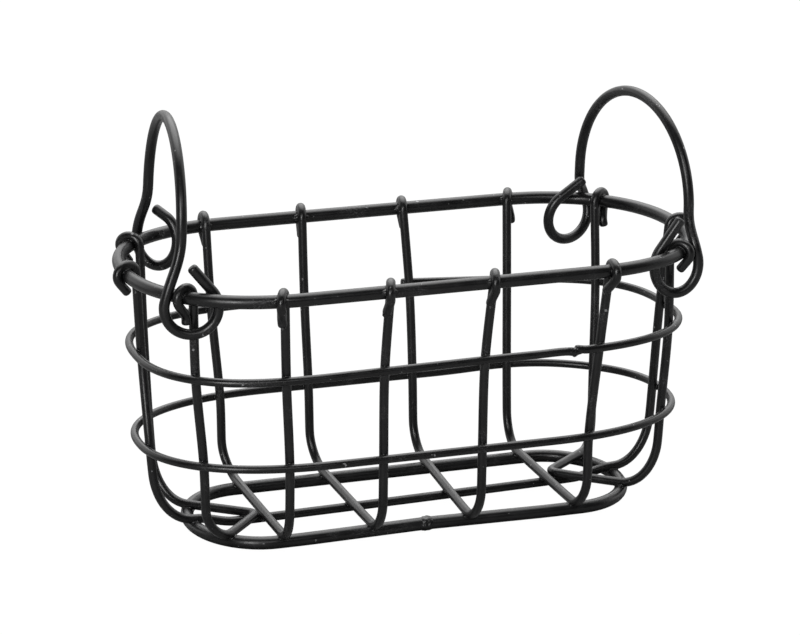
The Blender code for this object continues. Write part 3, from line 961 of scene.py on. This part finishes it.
LUMPS = (
    ("hook_burrs", burr_strands(), "rim_ring"),
    ("hook_lumps", hook_lump_strands(), "rim_ring"),
    ("base_bead", bead_strands(), "base_ring"),
    ("joint_swelling", joint_strands(), "upper_band_left"),
)
for number, (name, strands, like) in enumerate(LUMPS):
    material = coat(name + "_powder", LUMP_WEAR, LUMP_SHIFT + number)
    finish_piece(lump_piece(name, strands), "basket", [], material)
finish_piece(dent_piece(), "basket", [], coat("rim_dent_powder", DENT_WEAR, DENT_SHIFT))

# Camera: what the photograph shows, as a fitted place, direction and lens
CAMERA_PLACE = (-0.3278, -0.9832, 0.3770)
CAMERA_FORWARD = Vector((0.3008, 0.9079, -0.2920))
CAMERA_RIGHT = Vector((0.9493, -0.3145, 0.0))
LENS_PIXELS = 3544
IMAGE_WIDTH = 800
SENSOR_WIDTH = 36.0
FARTHEST = 50.0
# Floor: radius, grey, roughness and gloss, then how brightly and by what share it glows for the camera alone
FLOOR_RADIUS = 9.0
FLOOR_GREY = (0.26, 0.26, 0.26, 1)
FLOOR_ROUGHNESS = 0.7
FLOOR_GLOSS = 0.1
FLOOR_GLOW = 1.1
GLOW_SHARE = 0.90
WHITE = (1, 1, 1, 1)
# Light of the room, of the wall behind and of the ceiling, with the way to each and where it fades in
ROOM_LIGHT = 0.03
WALL_LIGHT = 1.0
WALL_WAY = (0.316, 0.949, 0.0)
WALL_RANGE = (-0.2, 0.3)
CEILING_LIGHT = 2.7
CEILING_WAY = (0.190, 0.569, 1.0)
CEILING_RANGE = (0.86, 1.1)
# Lamps: name, place, target, size and power
SOFTBOXES = (
    ("front_softbox", (-0.115, -0.936, 0.627), (0, 0, 0.06), (0.6, 0.25), 1.2),
    ("left_softbox", (-0.66, -0.86, 0.38), (0, 0, 0.08), (0.28, 0.50), 5.5),
)


def make_camera():
    """Camera at the photograph's place."""
    deselect()
    bpy.ops.object.camera_add(location=CAMERA_PLACE)
    camera = bpy.context.object
    forward = CAMERA_FORWARD.normalized()
    right = CAMERA_RIGHT.normalized()
    up = right.cross(forward)
    turned = Matrix((right, up, -forward)).transposed().to_4x4()
    camera.matrix_world = Matrix.Translation(CAMERA_PLACE) @ turned
    camera.data.sensor_width = SENSOR_WIDTH
    camera.data.lens = LENS_PIXELS / IMAGE_WIDTH * SENSOR_WIDTH
    camera.data.clip_end = FARTHEST
    bpy.context.scene.camera = camera


def softbox(name, place, target, size, power):
    """A rectangular lamp that faces a target."""
    deselect()
    bpy.ops.object.light_add(type="AREA", location=place)
    lamp = bpy.context.object
    lamp.name = name
    lamp.data.shape = "RECTANGLE"
    lamp.data.size, lamp.data.size_y = size
    lamp.data.energy = power
    lamp.rotation_euler = (Vector(target) - Vector(place)).to_track_quat("-Z", "Y").to_euler()


def make_stage():
    """A pale floor that keeps the shadow."""
    deselect()
    bpy.ops.mesh.primitive_circle_add(vertices=96, radius=FLOOR_RADIUS, fill_type="NGON", location=(0, 0, 0))
    floor = bpy.context.object
    floor.name = "pale_floor"
    material = bpy.data.materials.new("pale_floor")
    material.use_nodes = True
    tree = material.node_tree
    shader = tree.nodes["Principled BSDF"]
    shader.inputs["Base Color"].default_value = FLOOR_GREY
    shader.inputs["Roughness"].default_value = FLOOR_ROUGHNESS
    shader.inputs["Specular IOR Level"].default_value = FLOOR_GLOSS
    glow = new_node(tree, "ShaderNodeEmission", (0, -300), Color=WHITE, Strength=FLOOR_GLOW)
    rays = tree.nodes.new("ShaderNodeLightPath")
    mix = tree.nodes.new("ShaderNodeMixShader")
    link = tree.links.new
    link(calculate(tree, "MULTIPLY", rays.outputs["Is Camera Ray"], GLOW_SHARE), mix.inputs["Fac"])
    link(shader.outputs[0], mix.inputs[1])
    link(glow.outputs[0], mix.inputs[2])
    link(mix.outputs[0], tree.nodes["Material Output"].inputs["Surface"])
    floor.data.materials.append(material)


def bright_side(tree, direction, way, limits, strength):
    """Light that comes in smoothly where a direction leads along a way."""
    dot = tree.nodes.new("ShaderNodeVectorMath")
    dot.operation = "DOT_PRODUCT"
    dot.inputs[1].default_value = way
    step = new_node(tree, "ShaderNodeMapRange", From_Min=limits[0], From_Max=limits[1], To_Max=strength)
    step.interpolation_type = "SMOOTHSTEP"
    tree.links.new(direction, dot.inputs[0])
    tree.links.new(dot.outputs["Value"], step.inputs["Value"])
    return step.outputs[0]


def make_world():
    """White to the camera; to everything else a dark room with a white wall behind and a bright ceiling."""
    world = bpy.data.worlds.new("studio")
    world.use_nodes = True
    bpy.context.scene.world = world
    tree = world.node_tree
    tree.nodes.clear()
    direction = tree.nodes.new("ShaderNodeTexCoord").outputs["Generated"]
    wall = bright_side(tree, direction, WALL_WAY, WALL_RANGE, WALL_LIGHT)
    ceiling = bright_side(tree, direction, CEILING_WAY, CEILING_RANGE, CEILING_LIGHT)
    room = calculate(tree, "ADD", calculate(tree, "ADD", wall, ceiling), ROOM_LIGHT)
    dim = new_node(tree, "ShaderNodeBackground", Color=WHITE)
    white = new_node(tree, "ShaderNodeBackground", Color=WHITE, Strength=1.0)
    rays = tree.nodes.new("ShaderNodeLightPath")
    mix = tree.nodes.new("ShaderNodeMixShader")
    leave = tree.nodes.new("ShaderNodeOutputWorld")
    link = tree.links.new
    link(room, dim.inputs["Strength"])
    link(rays.outputs["Is Camera Ray"], mix.inputs["Fac"])
    link(dim.outputs[0], mix.inputs[1])
    link(white.outputs[0], mix.inputs[2])
    link(mix.outputs[0], leave.inputs["Surface"])


make_camera()
make_stage()
make_world()
for name, place, target, size, power in SOFTBOXES:
    softbox(name, place, target, size, power)
bpy.context.scene.view_settings.view_transform = "Standard"
